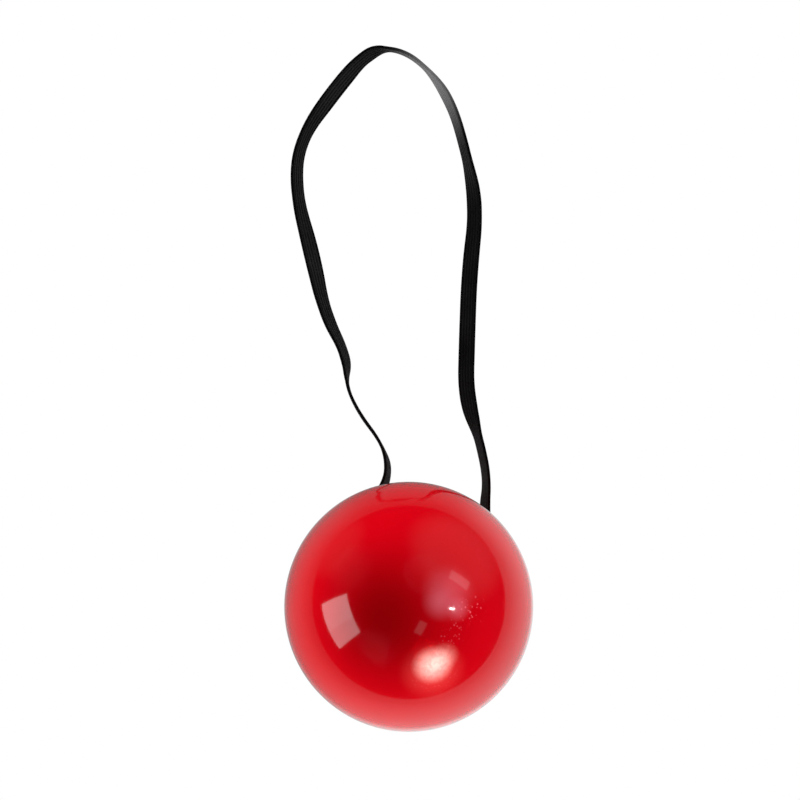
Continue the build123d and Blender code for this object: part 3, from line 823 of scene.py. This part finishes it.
def band_line():
    """Points along the smooth curve that the route's points shape."""
    curve = bpy.data.curves.new("band_route", "CURVE")
    curve.dimensions = "3D"
    spline = curve.splines.new("NURBS")
    spline.points.add(len(BAND_ROUTE) - 1)
    for point, (place, _lean) in zip(spline.points, BAND_ROUTE):
        point.co = (*place, 1)
    spline.order_u = 3
    spline.use_endpoint_u = True
    spline.resolution_u = BAND_STEPS
    holder = bpy.data.objects.new("band_route", curve)
    bpy.context.scene.collection.objects.link(holder)
    line = bpy.data.meshes.new_from_object(holder)
    points = [vertex.co.copy() for vertex in line.vertices]
    bpy.data.objects.remove(holder)
    bpy.data.meshes.remove(line)
    return points


def band_lean(share):
    """Lean of the band's width from upright at a share of the curve, in radians."""
    last = len(BAND_ROUTE) - 1
    knots = [0] + [index - 0.5 for index in range(1, last)] + [last - 1]
    reach = share * (last - 1)
    for index in range(last):
        if reach <= knots[index + 1]:
            part = (reach - knots[index]) / (knots[index + 1] - knots[index])
            part = part * part * (3 - 2 * part)
            leans = BAND_ROUTE[index][1], BAND_ROUTE[index + 1][1]
            return radians(leans[0] + (leans[1] - leans[0]) * part)
    return radians(BAND_ROUTE[-1][1])


def band_section():
    """Outline across the band: two ribbed faces that meet in rounded edges."""
    face = []
    for step in range(SECTION_POINTS):
        across = step / (SECTION_POINTS - 1) - 0.5
        rounding = sqrt(max(0.0, 1 - (abs(across) * 2) ** 8))
        rib = RIB_HEIGHT * sin(pi * RIB_COUNT * (across + 0.5)) ** 2
        face.append((across * BAND_WIDTH, (BAND_THICKNESS / 2 - RIB_HEIGHT) * rounding + rib))
    back = [(across, -height) for across, height in reversed(face[1:-1])]
    return face + back


def make_band(finish):
    """The band: its section carried along the curve, leaning as the route says."""
    line = band_line()
    section = band_section()
    count = len(line)
    vertices = []
    lengths = []
    run = 0.0
    for index, centre in enumerate(line):
        ahead = line[min(index + 1, count - 1)] - line[max(index - 1, 0)]
        ahead.normalize()
        level = Vector((0, 0, 1)).cross(ahead).normalized()
        upright = ahead.cross(level)
        lean = band_lean(index / (count - 1))
        width = cos(lean) * upright + sin(lean) * level
        depth = width.cross(ahead)
        ring = [centre + width * across + depth * height for across, height in section]
        lift = max(0.0, -min(point.z for point in ring))
        vertices.extend(point + Vector((0, 0, lift)) for point in ring)
        if index:
            run += (line[index] - line[index - 1]).length
        lengths.append(run)
    around = len(section)
    faces = []
    for index in range(count - 1):
        for step in range(around):
            near = index * around + step
            side = index * around + (step + 1) % around
            faces.append((near, side, side + around, near + around))
    faces.append(tuple(range(around))[::-1])
    faces.append(tuple((count - 1) * around + step for step in range(around)))
    mesh = bpy.data.meshes.new("elastic_strap")
    mesh.from_pydata(vertices, [], faces)
    layer = mesh.uv_layers.new(name="weave")
    for polygon in mesh.polygons:
        for corner in polygon.loop_indices:
            vertex = mesh.loops[corner].vertex_index
            across = section[vertex % around][0] / BAND_WIDTH + 0.5
            layer.data[corner].uv = (lengths[vertex // around], across)
    band = bpy.data.objects.new("elastic_strap", mesh)
    bpy.context.scene.collection.objects.link(band)
    bpy.ops.object.select_all(action="DESELECT")
    band.select_set(True)
    bpy.context.view_layer.objects.active = band
    bpy.ops.object.mode_set(mode="EDIT")
    bpy.ops.mesh.select_all(action="SELECT")
    bpy.ops.mesh.normals_make_consistent(inside=False)
    bpy.ops.object.mode_set(mode="OBJECT")
    smooth(band, 60)
    mesh.materials.append(finish.material)
    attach(band, "root")
    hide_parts("elastic_band")


# ---------------------------------------------------------------- everything in its finish


def give(names, finish):
    """Gives CAD nodes a finish."""
    for name in names:
        NODES[name].material_slots[0].material = finish.material


make_band(elastic_weave())
BALL = ball_plastic()
make_front_dome(BALL)
make_rear_shell(BALL)
give(["nose_cup"], moulded("cup_plastic", (0.42, 0.004, 0.010), (0.50, 0.006, 0.014), 0.32))
BLACK = moulded("black_plastic", (0.014, 0.014, 0.015), (0.024, 0.024, 0.025), 0.45)
give(["module_housing", "switch_body", "battery_door"], BLACK)
give(["circuit_board"], board_mask())
give(["led_1"], lamp_lens("lamp_lit", 6.0))
give(["led_2"], lamp_lens("lamp_fading", 1.5))
give(["led_3", "led_4"], lamp_lens("lamp_dark", 0.0))
give(["led_legs"], metal("tinned_wire", (0.75, 0.75, 0.74), (0.5, 0.48, 0.45), 0.22))
give(["flasher_chip"], moulded("chip_resin", (0.010, 0.010, 0.011), (0.02, 0.02, 0.021), 0.25))
give(["resistor"], resistor_paint())
WHITE = moulded("button_plastic", (0.78, 0.77, 0.72), (0.70, 0.69, 0.63), 0.25, grain=0.00002)
give(["push_button", "switch_plunger"], WHITE)
CELL = metal("cell_steel", (0.74, 0.74, 0.72), (0.5, 0.49, 0.46), 0.14, (3000, 300, 300))
give(["battery_cell_1", "battery_cell_2", "battery_cell_3"], CELL)
BRASS = metal("contact_brass", (0.80, 0.60, 0.28), (0.5, 0.32, 0.14), 0.2)
give(["contact_plate", "contact_spring"], BRASS)
STEEL = (0.56, 0.56, 0.56)
DULL_STEEL = (0.38, 0.36, 0.33)
for screw in ("door_screw", "housing_screws", "board_screws"):
    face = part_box(screw)[0].z
    give([screw], metal(screw + "_steel", STEEL, DULL_STEEL, 0.26, face=face))
give(["band_stop_left", "band_stop_right"], metal("stop_steel", STEEL, DULL_STEEL, 0.26))
